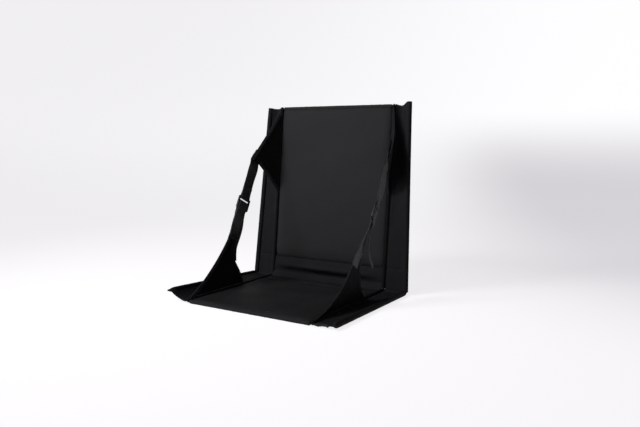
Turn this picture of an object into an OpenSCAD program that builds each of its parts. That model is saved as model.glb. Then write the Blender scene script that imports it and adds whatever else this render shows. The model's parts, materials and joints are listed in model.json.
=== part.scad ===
// Folding camping chair: a legless ground seat. A padded seat lies flat on the ground and a
// padded back stands on a fabric hinge. Steel rods in sewn sleeves stiffen the sides, and two
// webbing straps with ladder locks run from the seat's wings to the back's wings.
// Left is -X and right is +X, as seen from the front.

/* [Seat] */
// Hinge line to the front edge
seat_depth = 330; // [310:1:390]
// Between the two long seams
seam_spacing = 330; // [290:1:350]
// Width of each side strip at the hinge line, from seam to outer edge
hinge_strip_w = 65; // [55:1:75]
// Width of each seat strip at the front, from seam to outer edge
seat_strip_w = 56; // [48:1:75]
// Rise of the seat's front left corner over its rear one, since the soft strip bends up there
front_left_lift = 17; // [0:0.5:20]
// Rise of the seat's front right corner over its rear one
front_right_lift = 1; // [0:0.5:20]
// Hinge line to the stitch behind the seat pad
seat_stitch = 28; // [24:1:40]

/* [Back] */
// Hinge line to the top edge
back_len = 446; // [410:1:500]
// Width of each back strip at the top, from seam to outer edge
back_strip_w = 46; // [38:1:65]
// Lean of the back behind the vertical, in degrees
recline = 5; // [0:1:15]
// Hinge line to the stitch below the back pad
back_stitch = 40; // [34:1:55]
// How far the back's foot hangs below the hinge line
foot_drop = 12; // [6:0.5:13]
// How deep the side channels are at the top
channel_d = 8; // [2:0.5:12]

/* [Padding] */
// Thickness of a pad beside its edges
pad_t = 10; // [9:0.5:12]
// Extra thickness in the middle of a pad
crown = 2.5; // [0:0.5:4]
// Width over which a pad rounds down to its edge
edge_round = 11; // [6:0.5:16]
// Corner radius of a pad
corner_r = 9; // [5:0.5:14]
// Thickness of the cover cloth
cover_t = 1; // [0.8:0.1:1.4]
// Thickness of the stiffening boards
board_t = 2; // [1.5:0.1:2.5]
// Gap between the pieces that lie inside a cover
inner_gap = 0.3; // [0.2:0.05:0.5]
// Diameter of the rolled bindings at the two ends
binding_d = 9; // [7:0.5:10]

/* [Side frame] */
// Outside diameter of the steel rods
rod_d = 10; // [8:0.5:11]
// Wall of the rods
rod_wall = 1; // [0.8:0.1:1.5]
// Clearance between a rod and its sleeve
sleeve_gap = 0.3; // [0.2:0.05:0.5]
// Thickness of the doubled cloth of the side strips and sleeves
strip_t = 1.4; // [1:0.1:1.6]
// How far a rod ends inside the outer end of its sleeve
rod_recess = 12; // [6:0.5:20]
// How far the strip's end edge dips between the rod and the seam
strip_dip = 4; // [0:0.5:9]
// Width of the raised seams
welt_w = 9; // [7:0.5:11]
// Height of a raised seam's crest over the panel's middle
welt_h = 5.5; // [5:0.5:7]
// Thickness of a rod's end cap
cap_t = 2; // [1:0.5:3]

/* [Wings and straps] */
// Thickness of the wings
wing_t = 1.6; // [1.2:0.1:2]
// Width of the hem along a wing's free edges
hem_w = 9; // [5:0.5:12]
// How much the hem stands out on each side
hem_rise = 0.5; // [0.3:0.1:0.8]
// Gap between a wing and the seam that it is sewn to
wing_gap = 0.3; // [0.2:0.05:0.6]
// Seat wing's apex from the hinge line
seat_wing_u = 155; // [145:1:170]
// Seat wing's apex above the seam
seat_wing_v = 106; // [95:1:120]
// Seat wing's outward lean, in degrees
seat_wing_lean = 6; // [2:0.5:9]
// Front end of the seat wing's base
seat_wing_front = 317; // [290:1:320]
// Rear end of the seat wing's base
seat_wing_rear = 111; // [90:1:118]
// Back wing's apex from the hinge line
back_wing_u = 299; // [285:1:315]
// Back wing's apex in front of the seam
back_wing_v = 75; // [65:1:85]
// Back wing's outward lean, in degrees
back_wing_lean = 17.5; // [12:0.5:20]
// Upper end of the back wing's base
back_wing_top = 436; // [400:1:440]
// Lower end of the back wing's base
back_wing_foot = 222; // [205:1:240]
// Width of the webbing
webbing_w = 28; // [25:1:30]
// Thickness of the webbing
webbing_t = 1.4; // [1.2:0.1:1.8]
// Gap between two layers of webbing
layer_gap = 0.3; // [0.2:0.05:0.5]
// Where the lock sits, as a share of the strap from the seat wing
lock_share = 0.46; // [0.45:0.01:0.6]
// Length of the webbing's sewn ends
sewn_len = 24; // [15:1:30]
// Length of the upper strap's end that is sewn back on itself
loop_len = 34; // [26:1:45]
// Length of the loose tail
tail_len = 135; // [100:1:160]

/* [Ladder locks] */
// Diameter of the lock's three bars
bar_d = 4.4; // [3.5:0.1:5]
// Middle bar to the top bar
top_bar_s = 11; // [11:0.5:14]
// Middle bar to the bottom bar
bottom_bar_s = 16; // [13:0.5:18]
// Width of each side rail
rail_w = 4.5; // [3:0.5:6]
// Thickness of the side rails
rail_t = 5.6; // [5:0.1:7]
// Side clearance of the webbing between the rails
rail_gap = 0.6; // [0.4:0.1:1]
// Length of the lock's thumb tab
tab_len = 6; // [4:0.5:9]
// Thickness of the thumb tab
tab_t = 2; // [1.5:0.1:2.6]

/* [Hinge cloth] */
// Thickness of the hinge cloth
hinge_t = 1; // [0.8:0.1:1.4]
// How far the slack cloth bulges toward the sitter
hinge_bulge = 17; // [10:0.5:18]

/* [Hidden] */

charcoal = [0.15, 0.14, 0.16];
charcoal_light = [0.2, 0.19, 0.21];
webbing_grey = [0.24, 0.23, 0.25];
foam_grey = [0.5, 0.5, 0.52];
board_white = [0.82, 0.82, 0.8];
steel = [0.7, 0.71, 0.73];
lock_black = [0.06, 0.06, 0.07];

left = -1;
right = 1;
overrun = 1;
round_fn = 48;

half_t = pad_t / 2;
sleeve_r = rod_d / 2 + sleeve_gap + strip_t;
seam_x = seam_spacing / 2;
pad_half_w = seam_x - welt_w / 2;
strip_in_x = seam_x + welt_w / 2;

// The hinge line lies in the inside corner, clear of every seam and sleeve that folds past it
hinge_over_seat = 2 * pad_t - 4 * cover_t;
seat_mid_z = half_t;
hinge_z = seat_mid_z + hinge_over_seat;
rod_rise = sleeve_r - half_t + inner_gap;
// Rearmost points of the back: its sleeves at the top edge, and its channels where they dip
sleeve_y = back_len * sin(recline) + (hinge_over_seat + sleeve_r) * cos(recline);
channel_y = (back_len - strip_dip) * sin(recline)
    + (hinge_over_seat + channel_d + strip_t / 2) * cos(recline);
hinge_y = (seat_depth - max(sleeve_y, channel_y)) / 2;

function lerp(a, b, t) = a + (b - a) * t;
function unit(v) = v / norm(v);
function bump(t) = sin(180 * t);
function clamp01(t) = min(1, max(0, t));
function ease(t) = clamp01(t) * clamp01(t) * (3 - 2 * clamp01(t));
function bezier(p, t) =
    len(p) == 1 ? p[0] : bezier([for (i = [0 : len(p) - 2]) lerp(p[i], p[i + 1], t)], t);

// A panel's own coordinates are x, u away from the hinge line and w toward the sitter.
// Their zero is in the middle of the panel's thickness.
function seat_at(p) = [p[0], hinge_y - p[1], seat_mid_z + p[2]];
function back_at(p) = [
    p[0],
    hinge_y + p[1] * sin(recline) - (p[2] - hinge_over_seat) * cos(recline),
    hinge_z + p[1] * cos(recline) + (p[2] - hinge_over_seat) * sin(recline)
];

module on_seat() translate([0, hinge_y, seat_mid_z]) mirror([0, 1, 0]) children();

module on_back()
    translate([0, hinge_y, hinge_z])
        rotate([90 - recline, 0, 0])
            translate([0, 0, -hinge_over_seat]) children();

module on_side(side) mirror([side < 0 ? 1 : 0, 0, 0]) children();

// Skin between rings of points, closed by a point at each end
module domed(rings, first, last) {
    n = len(rings[0]);
    m = len(rings);
    points = [first, for (ring = rings) each ring, last];
    polyhedron(points, [
        for (i = [0 : n - 1]) [0, 1 + (i + 1) % n, 1 + i],
        for (k = [0 : m - 2]) for (i = [0 : n - 1]) each [
            [1 + k * n + i, 1 + k * n + (i + 1) % n, 1 + (k + 1) * n + (i + 1) % n],
            [1 + k * n + i, 1 + (k + 1) * n + (i + 1) % n, 1 + (k + 1) * n + i]
        ],
        for (i = [0 : n - 1]) [1 + m * n, 1 + (m - 1) * n + i, 1 + (m - 1) * n + (i + 1) % n]
    ]);
}

// Skin between sections of a sheet. Each section is one face's points and the other's backward.
module sheet(sections) {
    n = len(sections[0]);
    m = len(sections);
    points = [for (section = sections) each section];
    polyhedron(points, [
        for (i = [0 : n / 2 - 2]) each [[i, i + 1, n - 2 - i], [i, n - 2 - i, n - 1 - i]],
        for (k = [0 : m - 2]) for (i = [0 : n - 1]) each [
            [k * n + i, (k + 1) * n + i, (k + 1) * n + (i + 1) % n],
            [k * n + i, (k + 1) * n + (i + 1) % n, k * n + (i + 1) % n]
        ],
        for (i = [0 : n / 2 - 2]) each [
            [(m - 1) * n + i, (m - 1) * n + n - 2 - i, (m - 1) * n + i + 1],
            [(m - 1) * n + i, (m - 1) * n + n - 1 - i, (m - 1) * n + n - 2 - i]
        ]
    ]);
}

// Outline of a rectangle with round corners, inset from half sizes a and b about the point mid
corner_steps = 4;
edge_steps = 5;
quarter_signs = [[1, 1], [-1, 1], [-1, -1], [1, -1]];
function rounded_ring(a, b, r, mid) = [
    for (q = [0 : 3]) each let (
        centre = mid + [quarter_signs[q][0] * (a - r), quarter_signs[q][1] * (b - r)],
        next = mid + [quarter_signs[(q + 1) % 4][0] * (a - r), quarter_signs[(q + 1) % 4][1] * (b - r)],
        out = r * [cos(90 * q + 90), sin(90 * q + 90)]
    ) concat(
        [for (k = [0 : corner_steps]) let (turn = 90 * (q + k / corner_steps))
            centre + r * [cos(turn), sin(turn)]],
        [for (k = [1 : edge_steps - 1]) lerp(centre + out, next + out, k / edge_steps)]
    )
];

// A pad reaches across between the seams, from u0 to u1
inset_shares = [0.09, 0.3, 0.62, 1];
middle_shares = [0.35, 0.7, 0.94];
function pad_crown(p, u0, u1) = crown
    * (1 - pow(p[0] / pad_half_w, 2)) * (1 - pow((2 * p[1] - u0 - u1) / (u1 - u0), 2));
function pad_profile(share) = sqrt(1 - pow(1 - share, 2));
function pad_rings(u0, u1, inset, drop) = let (
    a = pad_half_w - inset,
    b = (u1 - u0) / 2 - inset,
    mid = [0, (u0 + u1) / 2],
    reach = min(a, b)
) concat(
    [for (s = [0, each inset_shares]) let (d = s * edge_round) [
        for (p = rounded_ring(a - d, b - d, max(corner_r - inset - d, cover_t), mid))
            [p[0], p[1], (half_t - drop) * lerp(rim_share, 1, pad_profile(s)) + pad_crown(p, u0, u1)]
    ]],
    [for (s = middle_shares) let (d = lerp(edge_round, reach, s)) [
        for (p = rounded_ring(a - d, b - d, cover_t, mid))
            [p[0], p[1], half_t - drop + pad_crown(p, u0, u1)]
    ]]
);
rim_share = 0.35;
function reversed(list) = [for (i = [len(list) - 1 : -1 : 0]) list[i]];
function flat_ring(ring, w) = [for (p = ring) [p[0], p[1], w]];

// Crowned half of a cover, open below
module crowned_cover(u0, u1) {
    outer = pad_rings(u0, u1, 0, 0);
    inner = pad_rings(u0, u1, cover_t, cover_t);
    mid_u = (u0 + u1) / 2;
    domed(
        [each reversed(outer), flat_ring(outer[0], 0), flat_ring(inner[0], 0), each inner],
        [0, mid_u, half_t + crown],
        [0, mid_u, half_t - cover_t + crown]
    );
}

// Flat half of a cover, open above
module flat_cover(u0, u1) {
    inner = [2 * (pad_half_w - cover_t), u1 - u0 - 2 * cover_t];
    difference() {
        pad_plate([2 * pad_half_w, u1 - u0], corner_r, -half_t, 0, (u0 + u1) / 2);
        pad_plate(inner, corner_r - cover_t, cover_t - half_t, overrun, (u0 + u1) / 2);
    }
}

module pad_plate(size, r, w0, w1, mid_u) {
    translate([0, mid_u, w0]) linear_extrude(w1 - w0) {
        square([size[0] - 2 * r, size[1]], center = true);
        square([size[0], size[1] - 2 * r], center = true);
        for (sx = [-1, 1]) for (sy = [-1, 1])
            translate([sx * (size[0] / 2 - r), sy * (size[1] / 2 - r)]) circle(r, $fn = round_fn);
    }
}

board_inset = cover_t + inner_gap;
board_top = board_inset - half_t + board_t;

module board(u0, u1) {
    size = [2 * (pad_half_w - board_inset), u1 - u0 - 2 * board_inset];
    pad_plate(size, corner_r - board_inset, board_inset - half_t, board_top, (u0 + u1) / 2);
}

module foam(u0, u1) {
    rings = pad_rings(u0, u1, board_inset, board_inset);
    foot = flat_ring(rings[0], board_top + inner_gap);
    mid_u = (u0 + u1) / 2;
    domed(
        [each reversed(rings), foot],
        [0, mid_u, half_t - board_inset + crown],
        [0, mid_u, board_top + inner_gap]
    );
}

seat_pad_end = seat_depth - binding_d;
back_pad_end = back_len - binding_d;

module seat_top_cover() color(charcoal) on_seat() crowned_cover(seat_stitch, seat_pad_end);
module seat_under_cover() color(charcoal) on_seat() flat_cover(seat_stitch, seat_pad_end);
module seat_foam() color(foam_grey) on_seat() foam(seat_stitch, seat_pad_end);
module seat_board() color(board_white) on_seat() board(seat_stitch, seat_pad_end);
module back_front_cover() color(charcoal) on_back() crowned_cover(back_stitch, back_pad_end);
module back_rear_cover() color(charcoal) on_back() flat_cover(back_stitch, back_pad_end);
module back_foam() color(foam_grey) on_back() foam(back_stitch, back_pad_end);
module back_board() color(board_white) on_back() board(back_stitch, back_pad_end);

// Rolled band across a pad's outer end
module binding(u, w)
    translate([-pad_half_w, u, w]) rotate([0, 90, 0])
        cylinder(d = binding_d, h = 2 * pad_half_w, $fn = round_fn);

module seat_front_binding()
    color(charcoal_light) on_seat() binding(seat_depth - binding_d / 2, (binding_d - pad_t) / 2);
module back_top_binding()
    color(charcoal_light) on_back() binding(back_len - binding_d / 2, 0);

// Raised seam beside a pad
welt_foot = 0.7 * half_t;
module welt(u0, u1)
    translate([seam_x, u1, 0]) rotate([90, 0, 0]) linear_extrude(u1 - u0) {
        translate([-welt_w / 2, -welt_foot]) square([welt_w, welt_foot + welt_h - welt_w / 2]);
        translate([0, welt_h - welt_w / 2]) circle(d = welt_w, $fn = round_fn);
    }

seat_welt_end = seat_depth - binding_d / 2;
back_welt_end = back_len - binding_d / 2;
module seat_welt_left() color(charcoal) on_seat() on_side(left) welt(0, seat_welt_end);
module seat_welt_right() color(charcoal) on_seat() on_side(right) welt(0, seat_welt_end);
module back_welt_left() color(charcoal) on_back() on_side(left) welt(-foot_drop, back_welt_end);
module back_welt_right() color(charcoal) on_back() on_side(right) welt(-foot_drop, back_welt_end);

// Rods run from the hinge line to the outer corners: [start, end] in a panel's coordinates
hinge_rod_x = seam_x + hinge_strip_w - sleeve_r;
function seat_rod(side) = [
    [hinge_rod_x, 0, rod_rise],
    [
        seam_x + seat_strip_w - sleeve_r,
        seat_depth,
        rod_rise + (side < 0 ? front_left_lift : front_right_lift)
    ]
];
back_rod = [
    [hinge_rod_x, -foot_drop, 0],
    [seam_x + back_strip_w - sleeve_r, back_len, 0]
];

function rod_at(rod, t) = lerp(rod[0], rod[1], t);

// Turns the z axis onto a rod, then moves to a distance from its start
module on_rod(rod, start) {
    d = unit(rod[1] - rod[0]);
    translate(rod[0] + start * d) rotate([0, acos(d[2]), atan2(d[1], d[0])]) children();
}

function rod_len(rod) = norm(rod[1] - rod[0]);

module tube(rod, start, end)
    on_rod(rod, start) difference() {
        cylinder(d = rod_d, h = end - start, $fn = round_fn);
        translate([0, 0, -overrun])
            cylinder(d = rod_d - 2 * rod_wall, h = end - start + 2 * overrun, $fn = round_fn);
    }

cap_stem = rod_d / 2;
module cap(rod, at, facing)
    on_rod(rod, at) mirror([0, 0, facing < 0 ? 1 : 0]) {
        cylinder(d = rod_d, h = cap_t, $fn = round_fn);
        translate([0, 0, -cap_stem])
            cylinder(d = rod_d - 2 * rod_wall - 2 * fit_gap, h = cap_stem + overrun / 2, $fn = round_fn);
    }
fit_gap = 0.05;

function seat_tube_end(side) = rod_len(seat_rod(side)) - rod_recess;
back_tube_end = rod_len(back_rod) - rod_recess;

module seat_tube(side) on_side(side) tube(seat_rod(side), cap_t, seat_tube_end(side));
module back_tube() tube(back_rod, cap_t, back_tube_end);
module seat_rod_left() color(steel) on_seat() seat_tube(left);
module seat_rod_right() color(steel) on_seat() seat_tube(right);
module back_rod_left() color(steel) on_back() on_side(left) back_tube();
module back_rod_right() color(steel) on_back() on_side(right) back_tube();

module seat_rod_caps() color(lock_black) on_seat() for (side = [left, right]) on_side(side) {
    cap(seat_rod(side), cap_t, -1);
    cap(seat_rod(side), seat_tube_end(side), 1);
}

module back_rod_caps() color(lock_black) on_back() for (side = [left, right]) on_side(side) {
    cap(back_rod, cap_t, -1);
    cap(back_rod, back_tube_end, 1);
}

// Cloth strip beside a seam: a shallow channel that closes round its rod as a sleeve.
// The slit of the sleeve faces the seam, behind the strip.
strip_steps = 8;
arc_steps = 14;
slit_angle = 8;
join_angle = asin(strip_t / 2 / sleeve_r);
function strip_face(c, k, depth, dip, side) = let (
    s = k / strip_steps,
    join_x = c[0] - sleeve_r * cos(join_angle)
) [
    lerp(strip_in_x, join_x, s),
    c[1] - dip * bump(s),
    lerp(0, c[2], ease(s)) - depth * bump(s) + side * strip_t / 2
];
function sleeve_arc(c, k, r) = let (
    a = lerp(180 - join_angle, join_angle + slit_angle - 180, k / arc_steps)
) [c[0] + r * cos(a), c[1], c[2] + r * sin(a)];
function strip_section(rod, t, depth, dip) = let (c = rod_at(rod, t)) concat(
    [for (k = [0 : strip_steps]) strip_face(c, k, depth, dip, 1)],
    [for (k = [1 : arc_steps]) sleeve_arc(c, k, sleeve_r)],
    [for (k = [arc_steps : -1 : 1]) sleeve_arc(c, k, sleeve_r - strip_t)],
    [for (k = [strip_steps : -1 : 0]) strip_face(c, k, depth, dip, -1)]
);

dip_share = 0.2;
depth_power = 1.5;
module strip(rod, depth_start, depth_end, stations)
    sheet([for (i = [0 : stations]) let (t = i / stations)
        strip_section(rod, t, lerp(depth_start, depth_end, pow(t, depth_power)),
            strip_dip * ease((t - 1 + dip_share) / dip_share))]);

// Depth of the channels where they lie flat
flat_channel_d = 0.2 * half_t;
module seat_strip(side) on_side(side) strip(seat_rod(side), flat_channel_d, flat_channel_d, 10);
module back_strip() strip(back_rod, flat_channel_d, channel_d, 14);
module seat_side_strip_left() color(charcoal) on_seat() seat_strip(left);
module seat_side_strip_right() color(charcoal) on_seat() seat_strip(right);
module back_side_strip_left() color(charcoal) on_back() on_side(left) back_strip();
module back_side_strip_right() color(charcoal) on_back() on_side(right) back_strip();

// Slack cloth between the two pads. It bulges under the back pad, tucks in and runs onto the
// seat. Each fold is [panel, share of the way to the stitch, height at the seam, bulge share].
hinge_folds_shares = [
    [0, 1, 1, 0.07], [0, 0.78, 1.2, 0.32], [0, 0.56, 1.5, 0.76], [0, 0.38, 1.8, 1],
    [0, 0.22, 2, 0.86], [0, 0.08, 2.4, 0.5], [0, -0.1, 2.8, 0.36], [1, -0.06, 2, 0.3],
    [1, 0.3, 1.6, 0.22], [1, 0.66, 1.4, 0.34], [1, 1, 1, 0.07]
];
hinge_stations = 16;
function hinge_point(fold, share) = let (
    x = share * (pad_half_w - inner_gap),
    stitch = fold[0] == 0 ? back_stitch : seat_stitch,
    u = fold[1] == 1 ? stitch - inner_gap : fold[1] * stitch,
    w = lerp(fold[2] * hinge_t, fold[3] * hinge_bulge, 1 - share * share)
) fold[0] == 0 ? back_at([x, u, w]) : seat_at([x, u, w]);

// A path in the plane of Y and Z, thickened into two faces
function thickened(path, t) = let (
    n = len(path),
    normals = [for (i = [0 : n - 1])
        unit(cross([1, 0, 0], path[min(i + 1, n - 1)] - path[max(i - 1, 0)]))]
) concat(
    [for (i = [0 : n - 1]) path[i] + t / 2 * normals[i]],
    [for (i = [n - 1 : -1 : 0]) path[i] - t / 2 * normals[i]]
);

module hinge_cloth() color(charcoal) sheet([for (i = [0 : hinge_stations])
    thickened([for (fold = hinge_folds_shares) hinge_point(fold, 2 * i / hinge_stations - 1)], hinge_t)]);

// Cloth that joins a back strip's foot to the seat strip behind it
fold_sag = 2 * hinge_t;
function side_fold_path(x) = let (
    top = back_at([x, -foot_drop - inner_gap, 0]),
    end = seat_at([x, -inner_gap, 0]),
    low = end[2] - fold_sag
) [for (t = [0 : 0.2 : 1]) bezier([top, [x, top[1], low], [x, lerp(top[1], end[1], 0.6), low], end], t)];
module side_fold() sheet([for (x = [pad_half_w + inner_gap, hinge_rod_x])
    thickened(side_fold_path(x), hinge_t)]);
module hinge_side_fold_left() color(charcoal) on_side(left) side_fold();
module hinge_side_fold_right() color(charcoal) on_side(right) side_fold();

// The wings stand on the seams. A wing's own coordinates are u along the seam and v up its slope.
wing_foot = welt_h + wing_gap + (wing_t / 2 + hem_rise) * sin(back_wing_lean);
function wing_at(u, v, lean) = [seam_x + v * sin(lean), u, wing_foot + v * cos(lean)];
strap_foot = seat_at(wing_at(seat_wing_u, seat_wing_v, seat_wing_lean));
strap_head = back_at(wing_at(back_wing_u, back_wing_v, back_wing_lean));

// The strap's own directions: along it upward, across its width and out from the chair
strap_s = unit(strap_head - strap_foot);
strap_q = unit(cross(strap_s, [1, 0, 0]));
strap_p = cross(strap_q, strap_s);
strap_len = norm(strap_head - strap_foot);
lock_s = lock_share * strap_len;
lock_at = strap_foot + lock_s * strap_s;
function strap_at(p, s) = lock_at + p * strap_p + s * strap_s;

seat_tilt = atan2(strap_s[1], strap_s[2]);
back_tilt = seat_tilt - recline;
half_webbing = webbing_w / 2;
apex_reach = 0.3 * webbing_w;

// Free edges of a wing, as curves that sag inward a little
seat_apex = [seat_wing_u, seat_wing_v] + apex_reach * [-sin(seat_tilt), cos(seat_tilt)];
seat_across = half_webbing * [cos(seat_tilt), sin(seat_tilt)];
back_apex = [back_wing_u, back_wing_v] + apex_reach * [-cos(back_tilt), sin(back_tilt)];
back_across = half_webbing * [sin(back_tilt), cos(back_tilt)];
edge_points = 10;
function edge_curve(from, to, sag) = let (
    chord = to - from,
    control = (from + to) / 2 + sag * [chord[1], -chord[0]]
) [for (k = [0 : edge_points]) bezier([from, control, to], k / edge_points)];
function hem_band(edge, inward) = let (n = len(edge)) concat(
    edge,
    [for (i = [n - 1 : -1 : 0]) let (d = edge[min(i + 1, n - 1)] - edge[max(i - 1, 0)])
        edge[i] + hem_w * inward * [d[1], -d[0]] / norm(d)]
);

front_sag_share = -0.08;
rear_sag_share = -0.04;
seat_front_edge = edge_curve([seat_wing_front, 0], seat_apex + seat_across, front_sag_share);
seat_rear_edge = edge_curve(seat_apex - seat_across, [seat_wing_rear, 0], rear_sag_share);
back_upper_edge = edge_curve([back_wing_top, 0], back_apex + back_across, rear_sag_share);
back_lower_edge = edge_curve(back_apex - back_across, [back_wing_foot, 0], front_sag_share);

module wing(first_edge, second_edge, lean)
    translate([seam_x, 0, wing_foot]) rotate([0, lean, 0]) rotate([90, 0, 90]) {
        linear_extrude(wing_t, center = true) polygon(concat(first_edge, second_edge));
        linear_extrude(wing_t + 2 * hem_rise, center = true) intersection() {
            polygon(concat(first_edge, second_edge));
            union() {
                polygon(hem_band(first_edge, -1));
                polygon(hem_band(second_edge, -1));
            }
        }
    }

module seat_wing() wing(seat_front_edge, seat_rear_edge, seat_wing_lean);
module back_wing() wing(back_upper_edge, back_lower_edge, back_wing_lean);
module seat_wing_left() color(charcoal) on_seat() on_side(left) seat_wing();
module seat_wing_right() color(charcoal) on_seat() on_side(right) seat_wing();
module back_wing_left() color(charcoal) on_back() on_side(left) back_wing();
module back_wing_right() color(charcoal) on_back() on_side(right) back_wing();

// Webbing along a path, with the direction of its width at each point
function ribbon(path, widths) = let (n = len(path)) [for (i = [0 : n - 1]) let (
    d = unit(path[min(i + 1, n - 1)] - path[max(i - 1, 0)]),
    across = half_webbing * unit(widths[i] - (widths[i] * d) * d),
    out = webbing_t / 2 * unit(cross(across, d))
) [path[i] + across + out, path[i] - across + out, path[i] - across - out, path[i] + across - out]];

seat_wing_out = [cos(seat_wing_lean), 0, -sin(seat_wing_lean)];
back_wing_out = [
    cos(back_wing_lean),
    sin(back_wing_lean) * cos(recline),
    -sin(back_wing_lean) * sin(recline)
];
function on_plane(v, normal) = unit(v - (v * normal) * normal);
sewn_off = wing_t / 2 + hem_rise + layer_gap + webbing_t / 2;
layer_p = (webbing_t + layer_gap) / 2;
bar_p = bar_d / 2 + layer_gap + webbing_t / 2;
turn_steps = 6;

// Webbing that is sewn to the seat wing and lies against the adjusting strap
lower_end_s = -(bottom_bar_s + tab_len + webbing_t + 2);
module lower_strap() let (
    s = on_plane(strap_s, seat_wing_out),
    foot = strap_foot + sewn_off * seat_wing_out,
    path = [
        foot - sewn_len * s, foot - sewn_len / 2 * s, foot, foot + apex_reach * s,
        strap_at(layer_p, lerp(-lock_s, lower_end_s, 0.4)),
        strap_at(layer_p, lerp(-lock_s, lower_end_s, 0.7)),
        strap_at(layer_p, lower_end_s)
    ],
    wing_q = cross(s, seat_wing_out)
) sheet(ribbon(path, [wing_q, wing_q, wing_q, wing_q, strap_q, strap_q, strap_q]));

// Webbing from just above the seat wing through the lock and down again as the loose tail.
// The left tail hangs in line with the strap. The right one swings back and twists.
left_tail_shares = [[0.05, -0.06, -0.3], [0.075, -0.17, -0.7], [0.055, -0.26, -0.98]];
right_tail_shares = [[0.04, -0.19, -0.335], [0.06, -0.155, -0.68], [0.045, 0.057, -0.907]];
right_tail_twist = 0.5;
tail_steps = 10;
tab_p = 2.4;
tab_clear_p = tab_p + tab_t / 2 + layer_gap + webbing_t / 2;
module adjusting_strap(tail_shares, twist) let (
    tab_s = -bottom_bar_s - tab_len,
    tail = concat([strap_at(tab_clear_p, tab_s - tab_t)],
        [for (p = tail_shares) lock_at + tail_len * p]),
    path = concat(
        [for (t = [0, 0.35, 0.7, 1])
            strap_at(-layer_p, lerp(2 * apex_reach - lock_s, tab_s - tab_t, t))],
        [strap_at(-bar_p, -bottom_bar_s)],
        [for (k = [0 : turn_steps]) let (a = 180 - 180 * k / turn_steps)
            strap_at(bar_p * cos(a), bar_p * sin(a))],
        [strap_at(bar_p, -bottom_bar_s)],
        [for (k = [0 : tail_steps]) bezier(tail, k / tail_steps)]
    )
) sheet(ribbon(path, [for (i = [0 : len(path) - 1])
    strap_q + twist * max(0, 1 - (len(path) - 1 - i) / tail_steps) * [1, 0, 0]]));

// Webbing that is sewn to the back wing, turns round the lock's top bar and is sewn to itself
module upper_strap() let (
    s = on_plane(strap_s, back_wing_out),
    head = strap_head + sewn_off * back_wing_out,
    top = top_bar_s + loop_len,
    path = concat(
        [head + sewn_len * s, head + sewn_len / 2 * s, head, head - apex_reach * s],
        [for (t = [0.3, 0.65, 1]) strap_at(layer_p, lerp(strap_len - lock_s, top, t))],
        [strap_at(layer_p, lerp(top, top_bar_s, 0.5))],
        [for (k = [0 : turn_steps]) let (a = -180 * k / turn_steps)
            strap_at(bar_p * cos(a), top_bar_s + bar_p * sin(a))],
        [strap_at(-layer_p, lerp(top, top_bar_s, 0.5)), strap_at(-layer_p, top)]
    ),
    wing_q = cross(s, back_wing_out)
) sheet(ribbon(path, [for (i = [0 : len(path) - 1]) i < 4 ? wing_q : i == 4 ? wing_q + strap_q : strap_q]));

module lower_strap_left() color(webbing_grey) on_side(left) lower_strap();
module lower_strap_right() color(webbing_grey) on_side(right) lower_strap();
module adjusting_strap_left()
    color(webbing_grey) on_side(left) adjusting_strap(left_tail_shares, 0);
module adjusting_strap_right()
    color(webbing_grey) on_side(right) adjusting_strap(right_tail_shares, right_tail_twist);
module upper_strap_left() color(webbing_grey) on_side(left) upper_strap();
module upper_strap_right() color(webbing_grey) on_side(right) upper_strap();

// Moulded ladder lock: two side rails, three bars and a thumb tab
module on_strap()
    translate(lock_at) rotate([-seat_tilt, 0, 0]) rotate([0, asin(strap_s[0]), 0]) children();

lock_inner_w = webbing_w + 2 * rail_gap;
module ladder_lock() on_strap() {
    for (side = [-1, 1]) translate([0, side * (lock_inner_w + rail_w) / 2, 0]) rotate([90, 0, 0])
        linear_extrude(rail_w, center = true) {
            translate([0, top_bar_s]) circle(d = rail_t, $fn = round_fn);
            translate([0, -bottom_bar_s]) circle(d = rail_t, $fn = round_fn);
            translate([-rail_t / 2, -bottom_bar_s]) square([rail_t, top_bar_s + bottom_bar_s]);
        }
    for (s = [top_bar_s, 0, -bottom_bar_s]) translate([0, 0, s]) rotate([90, 0, 0])
        cylinder(d = bar_d, h = lock_inner_w + rail_w, center = true, $fn = round_fn);
    rotate([90, 0, 0]) linear_extrude(lock_inner_w + rail_w, center = true)
        polygon([
            [-tab_t / 2, -bottom_bar_s], [tab_t / 2, -bottom_bar_s],
            [tab_p + tab_t / 2, -bottom_bar_s - tab_len], [tab_p - tab_t / 2, -bottom_bar_s - tab_len]
        ]);
}

module ladder_lock_left() color(lock_black) on_side(left) ladder_lock();
module ladder_lock_right() color(lock_black) on_side(right) ladder_lock();

seat_top_cover();
seat_under_cover();
seat_foam();
seat_board();
seat_front_binding();
seat_side_strip_left();
seat_side_strip_right();
seat_rod_left();
seat_rod_right();
seat_rod_caps();
seat_welt_left();
seat_welt_right();
hinge_cloth();
hinge_side_fold_left();
hinge_side_fold_right();
back_front_cover();
back_rear_cover();
back_foam();
back_board();
back_top_binding();
back_side_strip_left();
back_side_strip_right();
back_rod_left();
back_rod_right();
back_rod_caps();
back_welt_left();
back_welt_right();
seat_wing_left();
seat_wing_right();
back_wing_left();
back_wing_right();
lower_strap_left();
lower_strap_right();
adjusting_strap_left();
adjusting_strap_right();
upper_strap_left();
upper_strap_right();
ladder_lock_left();
ladder_lock_right();
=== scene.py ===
# %% [markdown]
# # A folding camping chair
# The real chair is a ground seat without legs. Two thin padded panels are joined by a slack
# strip of the same charcoal cloth, steel rods in sewn sleeves stiffen the sides, and two webbing
# straps with ladder locks hold the back up. The imported model gives the frame, and the sizes below
# are its own, so nothing is scaled to fit.

# %% Load the imported model
import json
from math import atan2, copysign, cos, exp, pi, radians, sin, sqrt
import bpy
import bmesh
from mathutils import Matrix, Vector, noise


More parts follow.
